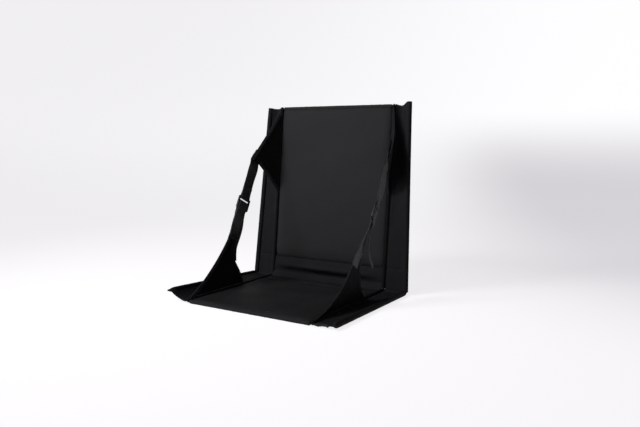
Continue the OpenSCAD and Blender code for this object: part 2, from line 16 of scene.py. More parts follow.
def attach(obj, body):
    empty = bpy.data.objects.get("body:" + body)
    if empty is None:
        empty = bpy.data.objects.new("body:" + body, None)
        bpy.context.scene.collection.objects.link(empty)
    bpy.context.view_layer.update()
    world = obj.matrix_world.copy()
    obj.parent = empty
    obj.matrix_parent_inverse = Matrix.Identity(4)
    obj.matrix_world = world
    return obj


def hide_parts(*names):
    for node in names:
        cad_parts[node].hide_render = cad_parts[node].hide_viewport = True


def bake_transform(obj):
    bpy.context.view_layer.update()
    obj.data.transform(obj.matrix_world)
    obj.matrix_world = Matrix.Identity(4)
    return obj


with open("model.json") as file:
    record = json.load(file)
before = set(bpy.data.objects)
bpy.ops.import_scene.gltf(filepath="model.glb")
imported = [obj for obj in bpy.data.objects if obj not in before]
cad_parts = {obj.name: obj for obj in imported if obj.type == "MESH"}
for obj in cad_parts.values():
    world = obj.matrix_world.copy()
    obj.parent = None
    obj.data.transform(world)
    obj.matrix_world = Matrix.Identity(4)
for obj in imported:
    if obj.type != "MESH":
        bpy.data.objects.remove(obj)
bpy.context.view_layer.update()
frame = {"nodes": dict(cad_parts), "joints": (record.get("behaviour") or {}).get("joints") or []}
scene = bpy.context.scene
MM = 0.001
UP = Vector((0, 0, 1))

# %% [markdown]
# ## Where things are
# A sewn chair is easiest to draw flat, so each panel has its own measure: x across, u from the
# hinge line outward, w toward the sitter. One matrix lays the seat on the ground and another
# stands the back up. A third mirrors a right-hand shape into a left-hand one.

# %% The two panels
RECLINE = radians(5)
LENGTH = {"seat": 330 * MM, "back": 446 * MM}
HALF_PAD, BACK_OFFSET = 5 * MM, 16 * MM
FOOT_DROP = 12 * MM
SEAM_X, SEAM_WIDTH = 165 * MM, 9 * MM
PAD_HALF_WIDTH = SEAM_X - SEAM_WIDTH / 2
COVER_HALF_WIDTH = PAD_HALF_WIDTH + 2.5 * MM
PAD = {"seat": (28 * MM, LENGTH["seat"] - 9 * MM), "back": (40 * MM, LENGTH["back"] - 9 * MM)}
hinge = Vector(next(j["pos_m"] for j in frame["joints"] if j["name"] == "back_fold"))
lean_s, lean_c = sin(RECLINE), cos(RECLINE)
SEAT = Matrix(((1, 0, 0, 0), (0, -1, 0, hinge.y), (0, 0, 1, HALF_PAD), (0, 0, 0, 1)))
BACK = Matrix((
    (1, 0, 0, 0),
    (0, lean_s, -lean_c, hinge.y + BACK_OFFSET * lean_c),
    (0, lean_c, lean_s, hinge.z - BACK_OFFSET * lean_s),
    (0, 0, 0, 1),
))
PANELS = {"seat": SEAT, "back": BACK}
SIDES = {"left": Matrix.Diagonal((-1, 1, 1, 1)), "right": Matrix.Identity(4)}
print("hinge line at y, z:", round(hinge.y, 4), round(hinge.z, 4))

# %% [markdown]
# ## Camera
# The place, turn and lens come from fitting the panels' corners and seams to the photograph. The
# picture's edges are untouched, so the lens isn't shifted.

# %% Camera
STANDS_AT = (0.76542, hinge.y - 1.32327, 0.35222)
LOOKS_ALONG = (-0.50330, 0.85741, -0.10742)
ROLL = 0.01116
LENS, SENSOR = 33.675, 36


def linked(name, data):
    """A new object in the scene."""
    made = bpy.data.objects.new(name, data)
    scene.collection.objects.link(made)
    return made


forward = Vector(LOOKS_ALONG).normalized()
right = forward.cross(UP).normalized()
turn = Matrix((right, right.cross(forward), -forward)).transposed() @ Matrix.Rotation(ROLL, 3, "Z")
camera = linked("camera", bpy.data.cameras.new("camera"))
camera.matrix_world = Matrix.Translation(STANDS_AT) @ turn.to_4x4()
camera.data.sensor_width, camera.data.lens = SENSOR, LENS
scene.camera = camera
print("camera at", tuple(round(c, 3) for c in camera.matrix_world.translation))

# %% [markdown]
# ## Studio
# A photograph of this kind has a pale floor that runs up into the background with no edge. A
# large disc whose rim curls up does the same from every side. It glows only toward the camera and
# in reflections, so the glow doesn't light the chair. A broad lamp in front and a dim world fill
# the shadows, and a key lamp near the chair gives the cloth its direction.

# %% Floor, lamps and world
FLOOR_NEAR, FLOOR_FAR = (0.82, 0.808, 0.826, 1), (0.86, 0.85, 0.868, 1)
# Painted shade: the floor's glow is made darker toward the right, in place of the chair's shadow there.
PAINTED_SHADE_RIGHT = (0.62, 0.606, 0.632, 1)
WALL_LEFT, WALL_RIGHT = (0.85, 0.838, 0.86, 1), (0.97, 0.965, 0.98, 1)
FLOOR_PAINT = (0.45, 0.445, 0.455, 1)
WORLD_COLOUR, WORLD_STRENGTH = (0.93, 0.93, 0.94, 1), 0.05
DISC_RADIUS, DISC_SEGMENTS = 1.5, 96
DISC_RIMS = ((2.2, 0.01), (3.0, 0.1), (4.0, 0.4), (5.0, 1.0), (6.0, 2.0), (6.6, 3.2))


def node(tree, kind, links=(), **settings):
    """One shader node with its settings, and its sockets set to values or joined to sockets."""
    made = tree.nodes.new("ShaderNode" + kind)
    for name, value in settings.items():
        setattr(made, name, value)
    for name, value in dict(links).items():
        if isinstance(value, bpy.types.NodeSocket):
            tree.links.new(value, made.inputs[name])
        else:
            made.inputs[name].default_value = value
    return made


def new_material(name):
    """An empty node material with its output, ready for a shader."""
    material = bpy.data.materials.new(name)
    material.use_nodes = True
    material.node_tree.nodes.clear()
    return material, material.node_tree


def show(tree, shader):
    """Sends a shader to the material's output."""
    node(tree, "OutputMaterial", {"Surface": shader})


def mixed(tree, share, first, second):
    """A colour or height between two others."""
    return node(tree, "Mix", {0: share, 6: first, 7: second}, data_type="RGBA").outputs[2]


def ramp(tree, value, start, end):
    """A smooth rise from 0 to 1 between two values."""
    return node(tree, "MapRange", {"Value": value, "From Min": start, "From Max": end},
                interpolation_type="SMOOTHSTEP").outputs[0]


def reckoned(tree, operation, *values):
    """The result of one math node."""
    return node(tree, "Math", dict(enumerate(values)), operation=operation).outputs[0]


floor_paint, tree = new_material("floor paint")
ray = node(tree, "LightPath").outputs
seen = reckoned(tree, "MAXIMUM", ray["Is Camera Ray"], ray["Is Glossy Ray"])
place = node(tree, "SeparateXYZ", {"Vector": node(tree, "TexCoord").outputs["Object"]})
x, y, z = (place.outputs[axis] for axis in "XYZ")
aslant = reckoned(tree, "MULTIPLY_ADD", y, 0.36, x)
# Where the painted shade on the right darkens the floor's glow.
painted_shade_share = reckoned(tree, "MULTIPLY", ramp(tree, aslant, 0.1, 1.1), ramp(tree, y, -0.2, 0.9))
low = mixed(tree, ramp(tree, y, 0.6, 3.0), FLOOR_NEAR, FLOOR_FAR)
low = mixed(tree, painted_shade_share, low, PAINTED_SHADE_RIGHT)
high = mixed(tree, ramp(tree, x, -4.5, 0.3), WALL_LEFT, WALL_RIGHT)
shade = mixed(tree, ramp(tree, z, 0.1, 0.75), low, high)
glow = node(tree, "Emission", {"Color": shade, "Strength": seen})
paint = node(tree, "BsdfDiffuse", {"Color": FLOOR_PAINT})
show(tree, node(tree, "AddShader", {0: glow.outputs[0], 1: paint.outputs[0]}).outputs[0])


def edges_within(bm, low, high):
    """The edges whose both ends lie between two distances from the middle."""
    return [e for e in bm.edges if all(low < v.co.xy.length < high for v in e.verts)]


def made_mesh(name, bm, material):
    """A smooth mesh with its material, from a bmesh that is then freed."""
    bmesh.ops.recalc_face_normals(bm, faces=bm.faces)
    mesh = bpy.data.meshes.new(name)
    bm.to_mesh(mesh)
    bm.free()
    mesh.shade_smooth()
    mesh.materials.append(material)
    return mesh


bm = bmesh.new()
bmesh.ops.create_circle(bm, cap_ends=False, radius=DISC_RADIUS, segments=DISC_SEGMENTS)
rim_radius = DISC_RADIUS
for reach, rise in DISC_RIMS:
    rim = edges_within(bm, 0.99 * rim_radius, 1.01 * rim_radius)
    new = bmesh.ops.extrude_edge_only(bm, edges=rim)
    for v in (g for g in new["geom"] if isinstance(g, bmesh.types.BMVert)):
        v.co = Vector((*(v.co.xy.normalized() * reach), rise))
    rim_radius = reach
bmesh.ops.holes_fill(bm, edges=edges_within(bm, 0, 1.01 * DISC_RADIUS))
floor = linked("studio_floor", made_mesh("studio_floor", bm, floor_paint))


def lamp(name, place, size, watts, aim=(0, 0, 0.2), spread=180):
    """A square soft box turned to a point. A grid on it narrows its spread."""
    light = bpy.data.lights.new(name, "AREA")
    light.size, light.energy, light.spread = size, watts, radians(spread)
    turn = (Vector(aim) - Vector(place)).to_track_quat("-Z", "Y")
    linked(name, light).matrix_world = Matrix.Translation(place) @ turn.to_matrix().to_4x4()


lamp("key lamp", (-0.9, -1.15, 1.3), size=0.6, watts=5.0, aim=(0, 0.12, 0.45), spread=90)
lamp("front lamp", (-0.6, -2.5, 1.05), size=1.3, watts=15)
world = bpy.data.worlds.new("studio")
world.use_nodes = True
sky = world.node_tree.nodes["Background"].inputs
sky["Color"].default_value, sky["Strength"].default_value = WORLD_COLOUR, WORLD_STRENGTH
scene.world = world
scene.view_settings.view_transform = "Standard"
print("floor reaches", round(max(v.co.x for v in floor.data.vertices), 2), "m")

# %% [markdown]
# ## Cloth, webbing, plastic and steel
# The cover is a plain-woven polyester. Two trains of waves at right angles, swapped by a checker,
# give its over-and-under threads, and slow noise gives the faint bloom that dark cloth has. Flat
# cut pieces carry a UV map in metres so that the weave follows the cut. The stuffed and rolled
# pieces have none, so most of them read their object's own coordinates.

# %% Materials
YARN_PITCH, YARN_RELIEF = 0.9 * MM, 0.12 * MM
# The length in metres of one wave of the wave texture at scale 1.
WAVE_LENGTH = 0.314


def solid_place(tree):
    return node(tree, "TexCoord").outputs["Object"]


def thread_coordinates(tree, from_map):
    """The place on the cloth in metres, from the piece's own map or from its place in space."""
    if from_map:
        return node(tree, "TexCoord").outputs["UV"]
    parts = node(tree, "SeparateXYZ", {"Vector": solid_place(tree)}).outputs
    fall = reckoned(tree, "SUBTRACT", parts["Y"], parts["Z"])
    return node(tree, "CombineXYZ", {"X": parts["X"], "Y": fall}).outputs[0]


def waves(tree, place, direction, pitch):
    """Rounded threads side by side, one for each pitch."""
    return node(tree, "TexWave", {"Vector": place, "Scale": WAVE_LENGTH / pitch},
                bands_direction=direction, wave_profile="SIN").outputs["Fac"]


def soft_noise(tree, place, scale, detail):
    return node(
        tree, "TexNoise", {"Vector": place, "Scale": scale, "Detail": detail}).outputs["Fac"]


def spread_over(tree, value, low, high):
    """A value from 0 to 1 made to run from low to high."""
    return node(tree, "MapRange", {"Value": value, "To Min": low, "To Max": high}).outputs[0]


def tinted(tree, colour, amount):
    """A colour made darker or lighter by an amount."""
    return node(tree, "VectorMath", {0: colour, "Scale": amount}, operation="SCALE").outputs[0]


def bumped(tree, height, strength, distance):
    return node(tree, "Bump", {
        "Strength": strength, "Distance": distance, "Height": height}).outputs[0]


def finished(material, sockets):
    """Ends a material with its main shader."""
    tree = material.node_tree
    show(tree, node(tree, "BsdfPrincipled", sockets).outputs[0])
    return material


def woven(name, from_map, dark, light, gloss):
    """Plain-woven cloth with a slow change of shade."""
    material, tree = new_material(name)
    place = thread_coordinates(tree, from_map)
    across, along = waves(tree, place, "X", YARN_PITCH), waves(tree, place, "Y", YARN_PITCH)
    over = node(tree, "TexChecker", {
        "Vector": place, "Scale": 1 / YARN_PITCH, "Color1": (1, 1, 1, 1), "Color2": (0, 0, 0, 1)})
    height = mixed(tree, over.outputs["Fac"], across, along)
    bloom = soft_noise(tree, solid_place(tree), 14, 3)
    fuzz = soft_noise(tree, solid_place(tree), 900, 2)
    shade = node(tree, "MapRange", {"Value": bloom, "From Min": 0.3, "From Max": 0.7})
    colour = mixed(tree, shade.outputs[0], dark, light)
    # The weave's low parts are painted darker, as painted shade between the threads.
    return finished(material, {
        "Base Color": tinted(tree, colour, spread_over(tree, height, 0.72, 1.1)),
        "Roughness": spread_over(tree, bloom, 0.62, 0.85), "Specular IOR Level": gloss,
        "Normal": bumped(tree, reckoned(tree, "ADD", height, fuzz), 0.5, YARN_RELIEF)})


cut_cloth = woven(
    "charcoal cloth, cut", True, (0.0155, 0.0145, 0.0165, 1), (0.021, 0.0197, 0.0222, 1), 0.07)
pad_cloth = woven(
    "charcoal cloth, padded", False, (0.0125, 0.0117, 0.0134, 1), (0.0205, 0.0192, 0.0217, 1), 0.25)
# The hem cloth is the same charcoal cloth painted about twice as light, as a painted highlight on the
# rolled hems and bands.
hem_cloth_painted_highlight = woven(
    "charcoal hem, painted highlight", True, (0.028, 0.0265, 0.0295, 1), (0.038, 0.036, 0.0405, 1), 0.12)
# The seam cloth is the charcoal cloth painted about half as light, as painted shade in the grooves beside
# the raised seams.
seam_cloth_painted_shade = woven(
    "charcoal cloth, piped, painted shade", False, (0.0065, 0.006, 0.007, 1), (0.0095, 0.009, 0.0102, 1), 0.07)


def webbing_finish(name):
    """Flat webbing: ribs across the strap, a finer wale along it, and a slant over both."""
    material, tree = new_material(name)
    place = node(tree, "TexCoord").outputs["UV"]
    ribs = waves(tree, place, "Y", 1.3 * MM)
    wales = waves(tree, place, "X", 1.9 * MM)
    slant = waves(tree, place, "DIAGONAL", 1.1 * MM)
    weave = mixed(tree, 0.4, mixed(tree, 0.35, ribs, wales), slant)
    shade = soft_noise(tree, solid_place(tree), 25, 3)
    colour = mixed(tree, shade, (0.027, 0.0258, 0.029, 1), (0.037, 0.035, 0.0395, 1))
    # The weave's low parts are painted darker, as painted shade between the ribs.
    return finished(material, {
        "Base Color": tinted(tree, colour, spread_over(tree, weave, 0.6, 1.15)),
        "Roughness": 0.55, "Specular IOR Level": 0.4,
        "Normal": bumped(tree, weave, 0.6, 0.2 * MM)})


def moulded(name, colour, roughness, grain):
    """Moulded plastic with a fine spark-eroded grain and a slightly worn, smoother face."""
    material, tree = new_material(name)
    fine = soft_noise(tree, solid_place(tree), 1800, 2)
    wear = soft_noise(tree, solid_place(tree), 60, 3)
    return finished(material, {
        "Base Color": colour, "Normal": bumped(tree, fine, 0.3, grain),
        "Roughness": spread_over(tree, wear, roughness - 0.1, roughness + 0.1)})


def drawn_steel(name):
    """Steel tube with the fine lengthwise lines that drawing leaves."""
    material, tree = new_material(name)
    stretched = node(tree, "Mapping", {"Vector": solid_place(tree), "Scale": (900, 900, 12)})
    lines = soft_noise(tree, stretched.outputs[0], 1, 3)
    return finished(material, {
        "Base Color": mixed(tree, lines, (0.42, 0.43, 0.45, 1), (0.62, 0.63, 0.65, 1)),
        "Metallic": 1.0, "Roughness": spread_over(tree, lines, 0.25, 0.42),
        "Normal": bumped(tree, lines, 0.2, 0.03 * MM)})


webbing = webbing_finish("charcoal webbing")
thread = moulded("bonded thread", (0.024, 0.0225, 0.027, 1), 0.5, 0.05 * MM)
lock_plastic = moulded("black lock plastic", (0.006, 0.006, 0.0068, 1), 0.35, 0.04 * MM)
cap_plastic = moulded("cap plastic", (0.008, 0.008, 0.009, 1), 0.5, 0.06 * MM)
board_plastic = moulded("stiffening board", (0.62, 0.62, 0.6, 1), 0.6, 0.05 * MM)
steel = drawn_steel("drawn steel tube")
print("materials:", len(bpy.data.materials))

# %% [markdown]
# ## Three ways to start a piece
# Flat cuts start as a grid that is then laid in place, which keeps the cut's own UV map. Rolled
# edges start as a long cylinder that is cut into rings so it can pucker. Moulded pieces start as
# blocks or short cylinders. The same small function finishes all of them and hides the imported
# parts that they stand for.

# %% Helpers for making pieces
def blended(a, b, t):
    return a + (b - a) * t


def eased(t):
    t = min(1.0, max(0.0, t))
    return t * t * (3 - 2 * t)


def after(t, start, length):
    """A smooth rise from 0 to 1 that begins at start."""
    return eased((t - start) / length)


def hump(t):
    return sin(pi * min(1.0, max(0.0, t)))


def ripple(x, y, size, seed):
    """Smooth noise from -1 to 1 that is the same in every run."""
    return noise.noise(Vector((x / size, y / size, 7.3 * seed + 0.37)))


def finish_piece(name, bm, place, material, body, stands_for, rides=True):
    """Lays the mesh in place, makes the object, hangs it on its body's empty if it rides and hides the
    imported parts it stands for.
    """
    bmesh.ops.transform(bm, matrix=place, verts=bm.verts)
    mesh = made_mesh(name, bm, material)
    piece = linked(name, mesh)
    if rides:
        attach(piece, body)
    if stands_for:
        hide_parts(*stands_for)
    low = [min(v.co[i] for v in mesh.vertices) for i in range(3)]
    high = [max(v.co[i] for v in mesh.vertices) for i in range(3)]
    print(name, [round((b - a) / MM, 1) for a, b in zip(low, high)], "mm,", len(mesh.polygons), "faces")
    return piece


def cut_sheet(columns, rows, lay):
    """A grid laid by lay(a, b), with a across and b along from 0 to 1, and its map in metres."""
    bm = bmesh.new()
    layer = bm.loops.layers.uv.new("UVMap")
    bmesh.ops.create_grid(bm, x_segments=columns, y_segments=rows, size=0.5, calc_uvs=True)
    for v in bm.verts:
        v.co = lay(v.co.x + 0.5, v.co.y + 0.5)
    steps = [k / 20 for k in range(21)]
    width = sum((lay(a, 0.5) - lay(b, 0.5)).length for a, b in zip(steps, steps[1:]))
    length = sum((lay(0.5, a) - lay(0.5, b)).length for a, b in zip(steps, steps[1:]))
    for face in bm.faces:
        for loop in face.loops:
            loop[layer].uv = (loop[layer].uv.x * width, loop[layer].uv.y * length)
    return bm, (width, length)


def thicken(piece, thickness):
    """Gives a cut sheet its thickness, half to each side."""
    wall = piece.modifiers.new("thickness", "SOLIDIFY")
    wall.thickness, wall.offset = thickness, 0


def bake(piece):
    """Replaces the mesh by what its modifiers make of it."""
    shown = piece.evaluated_get(bpy.context.evaluated_depsgraph_get())
    old, new = piece.data, bpy.data.meshes.new_from_object(shown)
    new.name = old.name
    piece.modifiers.clear()
    piece.data = new
    bpy.data.meshes.remove(old)


def closed_tube(lay, around, along):
    """A sheet laid once round into a tube, joined to itself and closed at both ends."""
    bm, _ = cut_sheet(around, along, lay)
    bmesh.ops.remove_doubles(bm, verts=bm.verts, dist=0.01 * MM)
    bmesh.ops.holes_fill(bm, edges=[e for e in bm.edges if e.is_boundary])
    return bm


def joined(parts):
    """One bmesh from several, each freed."""
    whole = bmesh.new()
    for part in parts:
        spare = bpy.data.meshes.new("spare")
        part.to_mesh(spare)
        whole.from_mesh(spare)
        bpy.data.meshes.remove(spare)
        part.free()
    return whole


def cylinder(radius, depth, segments, place=Matrix.Identity(4)):
    bm = bmesh.new()
    bmesh.ops.create_cone(bm, cap_ends=True, segments=segments, radius1=radius, radius2=radius,
                          depth=depth, matrix=place)
    return bm


def round_off(bm, edges, offset, segments):
    bmesh.ops.bevel(bm, geom=edges, offset=offset, segments=segments, profile=0.5,
                    affect="EDGES", material=-1)


def rise_of(edge):
    return abs(edge.verts[0].co.z - edge.verts[1].co.z)


RING_STEP, RING_SEGMENTS = 3.5 * MM, 20


def rolled_edge(length, radius, pucker, seed):
    """A round band along x, centred, with domed ends and small puckers."""
    bm = cylinder(radius, length, RING_SEGMENTS)
    long_edges = [e for e in bm.edges if rise_of(e) > length / 2]
    bmesh.ops.subdivide_edges(bm, edges=long_edges, cuts=int(length / RING_STEP), use_grid_fill=True)
    bmesh.ops.rotate(bm, verts=bm.verts, matrix=Matrix.Rotation(pi / 2, 3, "Y"))
    for v in bm.verts:
        turn = atan2(v.co.y, v.co.z)
        end = min(1.0, (length / 2 - abs(v.co.x)) / radius)
        dome = sqrt(max(0.15, 1 - (1 - end) ** 2))
        small = pucker * ripple(v.co.x, turn * radius * 0.35, 4.5 * MM, seed)
        large = pucker * ripple(v.co.x, turn * radius, 26 * MM, seed + 1)
        v.co.yz = v.co.yz * (dome * (1 + (small + large) / radius))
    return bm


# %% [markdown]
# ## Padded panels
# Each panel is a sheet of foam and a board inside a sewn cover, so it is nearly flat, with soft
# edges and a faint crown. A block with rounded edges starts it. A short cloth simulation with a
# little air pressure then swells the cover, and each point's travel is capped, because a thin
# foam pad hardly swells at all. A smooth lift adds the crown and the dents, and lets the pad fall
# toward its seams.

# %% Seat pad and back pad
PAD_BOTTOM, PAD_TOP = -3.6 * MM, 5 * MM
CORNER_ROUND, RIM_ROUND = 9 * MM, 3.2 * MM
VOXEL = 4 * MM
SWELL_FRAMES, SWELL_PRESSURE = 20, 4
CROWN, DENTS, DENT_SIZE = 1.1 * MM, 0.9 * MM, 62 * MM
SIDE_FALL, SIDE_FALL_WIDTH = 3.2 * MM, 18 * MM
REAR_FALL, REAR_FALL_WIDTH = 3.6 * MM, 27 * MM


def pad_block(u0, u1):
    bm = bmesh.new()
    size = Matrix.Diagonal((2 * COVER_HALF_WIDTH, u1 - u0, PAD_TOP - PAD_BOTTOM, 1))
    middle = Matrix.Translation((0, (u0 + u1) / 2, (PAD_BOTTOM + PAD_TOP) / 2))
    bmesh.ops.create_cube(bm, size=1, matrix=middle @ size)
    round_off(bm, [e for e in bm.edges if rise_of(e) > 1 * MM], CORNER_ROUND, 4)
    round_off(bm, [e for e in bm.edges if rise_of(e) < 0.1 * MM], RIM_ROUND, 3)
    return bm


def plump(piece, place, u0, u1):
    remesh = piece.modifiers.new("even faces", "REMESH")
    remesh.mode, remesh.voxel_size = "VOXEL", VOXEL
    bake(piece)
    flat = [v.co.copy() for v in piece.data.vertices]
    swell = piece.modifiers.new("swell", "CLOTH")
    air = swell.settings
    air.use_pressure, air.uniform_pressure_force = True, SWELL_PRESSURE
    air.effector_weights.gravity, air.quality = 0, 4
    swell.collision_settings.use_collision = False
    swell.point_cache.frame_start, swell.point_cache.frame_end = 1, SWELL_FRAMES
    for step in range(1, SWELL_FRAMES + 1):
        scene.frame_set(step)
    bake(piece)
    scene.frame_set(1)
    inward, turn = place.inverted(), place.to_3x3()
    travel = 0
    for v, start in zip(piece.data.vertices, flat):
        x, u, w = inward @ start
        room = hump((x + PAD_HALF_WIDTH) / (2 * PAD_HALF_WIDTH)) * hump((u - u0) / (u1 - u0))
        cap = blended(0.2, 1.1, room) * MM if w > 0 else 0.05 * MM
        move = v.co - start
        if move.length > cap:
            move *= cap / move.length
        lift = 0.0
        if w > 0:
            lift = CROWN * room ** 0.6 + DENTS * ripple(x, u, DENT_SIZE, 3)
            lift -= SIDE_FALL * max(0.0, 1 - (PAD_HALF_WIDTH - abs(x)) / SIDE_FALL_WIDTH) ** 2
            lift -= REAR_FALL * max(0.0, 1 - (u - u0) / REAR_FALL_WIDTH) ** 1.6
        v.co = start + move + turn @ Vector((0, 0, lift))
        travel = max(travel, (v.co - start).length)
    smooth = piece.modifiers.new("smooth", "SUBSURF")
    smooth.levels = smooth.render_levels = 1
    bake(piece)
    piece.data.shade_smooth()
    print(piece.name, "moved at most", round(travel / MM, 1), "mm,", len(piece.data.polygons), "faces")


for panel, nodes in (
    ("seat", ("seat_top_cover", "seat_foam")), ("back", ("back_front_cover", "back_foam")),
):
    u0, u1 = PAD[panel]
    bm = pad_block(u0 - 1 * MM, u1 + 2 * MM)
    pad = finish_piece(f"{panel}_pad", bm, PANELS[panel], pad_cloth, panel, nodes)
    plump(pad, PANELS[panel], u0, u1)

# %% [markdown]
# ## The covers' outer sides
# Behind the back and under the seat the cover is one flat sheet over the board. Its rim turns up
# into the seams, so it is a cut sheet laid flat with the rim curled.

# %% Under side of the seat and rear side of the back
RIM, RIM_RISE = 7 * MM, 4.2 * MM


def under_sheet(u0, u1, seed):
    def lay(a, b):
        x, u = blended(-COVER_HALF_WIDTH, COVER_HALF_WIDTH, a), blended(u0, u1, b)
        rim = min(COVER_HALF_WIDTH - abs(x), u - u0, u1 - u, RIM) / RIM
        slack = 0.25 * MM * (ripple(x, u, 45 * MM, seed) + 1) * rim
        return Vector((x, u, -4.5 * MM + RIM_RISE * (1 - rim) ** 2 + slack))
    return cut_sheet(84, 90, lay)


for name, panel, stands_for, seed in (
    ("seat_underside", "seat", "seat_under_cover", 4), ("back_rear_side", "back", "back_rear_cover", 5),
):
    bm, flat = under_sheet(PAD[panel][0] - 7 * MM, PAD[panel][1] + 5 * MM, seed)
    under = finish_piece(name, bm, PANELS[panel], cut_cloth, panel, [stands_for])
    thicken(under, 0.9 * MM)

# %% [markdown]
# ## Raised seams and rolled ends
# The pads end in a piped seam on each long side and a rolled band across the outer end. Both are
# cloth rolled over a filler and sewn through, so they are puckered cylinders. The band at the
# back's top is pressed flatter.

# %% Seams and bindings
SEAM_R, SEAM_PUCKER = 4.3 * MM, 0.35 * MM
BAND_R, BAND_PUCKER, BAND_PRESSED = 4.4 * MM, 0.3 * MM, 0.6
# The seat's front band takes the hem cloth, whose lighter colour is a painted highlight.
for panel, low, high, band, band_w, cloth, seed in (
    ("seat", -6 * MM, LENGTH["seat"] - 1 * MM, "seat_front_binding", -0.5 * MM, hem_cloth_painted_highlight, 11),
    ("back", -FOOT_DROP, LENGTH["back"], "back_top_binding", 0, pad_cloth, 12),
):
    for side, mirror in SIDES.items():
        bm = rolled_edge(high - low, SEAM_R, SEAM_PUCKER, seed + (side == "left") * 4)
        bmesh.ops.rotate(bm, verts=bm.verts, matrix=Matrix.Rotation(pi / 2, 3, "Z"))
        move = Matrix.Translation((SEAM_X, (low + high) / 2, 0.9 * MM))
        # The seams take the seam cloth, painted darker as shade in their grooves.
        finish_piece(f"{panel}_seam_{side}", bm, PANELS[panel] @ mirror @ move, seam_cloth_painted_shade, panel,
                     [f"{panel}_welt_{side}"])
    bm = rolled_edge(2 * PAD_HALF_WIDTH + 2 * MM, BAND_R, BAND_PUCKER, seed + 20)
    if panel == "back":
        bmesh.ops.scale(bm, vec=(1, 1, BAND_PRESSED), verts=bm.verts)
    move = Matrix.Translation((0, LENGTH[panel] - 4.5 * MM, band_w))
    finish_piece(f"{panel}_rolled_end", bm, PANELS[panel] @ move, cloth, panel, [band])

# %% [markdown]
# ## Side strips with their rod sleeves
# Outside each seam the doubled cloth runs on as a strip and closes round the rod. Its section is
# one line: a shallow channel, then nearly a full turn round the rod. Sweeping that line along the
# panel gives the strip, and the channel deepens toward the back's top, as in the photograph.

# %% Side strips
SLEEVE_R = 6.0 * MM
ROD_RISE = 2.0 * MM
HINGE_ROD_X = 223.3 * MM
OUTER_ROD_X = {"seat": 214.3 * MM, "back": 204.3 * MM}
ROD_START = {"seat": (0, ROD_RISE), "back": (-FOOT_DROP, 0)}
FRONT_LIFT = {"left": 17 * MM, "right": 1 * MM}
END_REACH = {("seat", "left"): 4 * MM, ("seat", "right"): 1 * MM,
             ("back", "left"): -2 * MM, ("back", "right"): 4.5 * MM}
STRIP_SHARE = 0.56
SLEEVE_TURN = radians(350)


def rod_ends(panel, side):
    """A rod's line from the hinge to the outer corner, in its panel's measure."""
    u, w = ROD_START[panel]
    lift = FRONT_LIFT[side] if panel == "seat" else 0
    return Vector((HINGE_ROD_X, u, w)), Vector((OUTER_ROD_X[panel], LENGTH[panel], w + lift))


def strip_lay(panel, side):
    """The strip's section: a channel for a up to STRIP_SHARE, and the sleeve round the rod."""
    start, end = rod_ends(panel, side)
    seed = 31 + (side == "left") + 2 * (panel == "back")
    deep_end = 8 * MM if panel == "back" else 1 * MM
    deepens = 3 if side == "left" else 1.5
    steep = 2.4 if (panel, side) == ("seat", "left") else 1.0
    reach = END_REACH[panel, side]

    def lay(a, b):
        rod = start.lerp(end, b)
        depth = blended(1 * MM, deep_end, b ** deepens)
        dip = 3 * MM * after(b, 0.8, 0.2)
        if a < STRIP_SHARE:
            s = a / STRIP_SHARE
            x = blended(SEAM_X + 3.5 * MM, rod.x - SLEEVE_R, s)
            slack = 0.8 * MM * ripple(x, rod.y * 0.35, 14 * MM, seed) * hump(s)
            slack += 0.5 * MM * ripple(x, rod.y, 38 * MM, seed + 2) * hump(s)
            rise = rod.z * blended(eased(s), s ** steep, eased(b))
            end_reach = reach * after(s, 0.45, 0.55) * after(b, 0.9, 0.1)
            if panel == "back":
                slack -= 1.1 * MM * exp(-((rod.y - PAD["back"][0]) / (3 * MM)) ** 2) * hump(s) ** 0.3
            return Vector((x, rod.y - dip * hump(s) + end_reach, rise - depth * hump(s) + slack))
        turn = pi - (a - STRIP_SHARE) / (1 - STRIP_SHARE) * SLEEVE_TURN
        radius = SLEEVE_R + 0.18 * MM * ripple(rod.y, turn * 4 * MM, 9 * MM, seed)
        pinch = after(b, 0.955, 0.045) * (0.8 if panel == "seat" else 0.12)
        return Vector((rod.x + radius * ((1 - pinch) * cos(turn) + pinch),
                       rod.y + reach * after(b, 0.9, 0.1),
                       rod.z + radius * (1 - pinch) * sin(turn)))
    return lay


for panel, place in PANELS.items():
    for side, mirror in SIDES.items():
        bm, flat = cut_sheet(56, 130, strip_lay(panel, side))
        strip = finish_piece(f"{panel}_strip_{side}", bm, place @ mirror, cut_cloth, panel,
                             [f"{panel}_side_strip_{side}"])
        thicken(strip, 1.3 * MM)

# %% [markdown]
# The strips' outer ends are turned under and sewn. On the right the seat's turned end is thick and
# lumpy, so it is a fuller roll than the others. Each is a tube that follows the strip's own end.

# %% Turned ends of the strips
LUMPY_ROLL, PLAIN_ROLL = (3.0 * MM, 1.3 * MM), (1.5 * MM, 0.3 * MM)


def strip_end(panel, side):
    lay = strip_lay(panel, side)
    return lambda t: lay(blended(0.0, STRIP_SHARE - 0.02, t), 0.995)


def roll_lay(line, radius, pucker):
    """A round hem along line(t): a goes once round it, b along it."""
    def lay(a, b):
        here = line(b)
        ahead = (line(min(1, b + 0.02)) - line(max(0, b - 0.02))).normalized()
        side = ahead.cross(UP).normalized()
        turn = 2 * pi * a
        size = radius * (0.4 + 0.6 * min(1, 8 * b, 8 * (1 - b)))
        size += pucker * ripple(b * 0.05, cos(turn) * 0.002, 5 * MM, 91)
        return here + (side * cos(turn) + ahead.cross(side) * sin(turn)) * size
    return lay


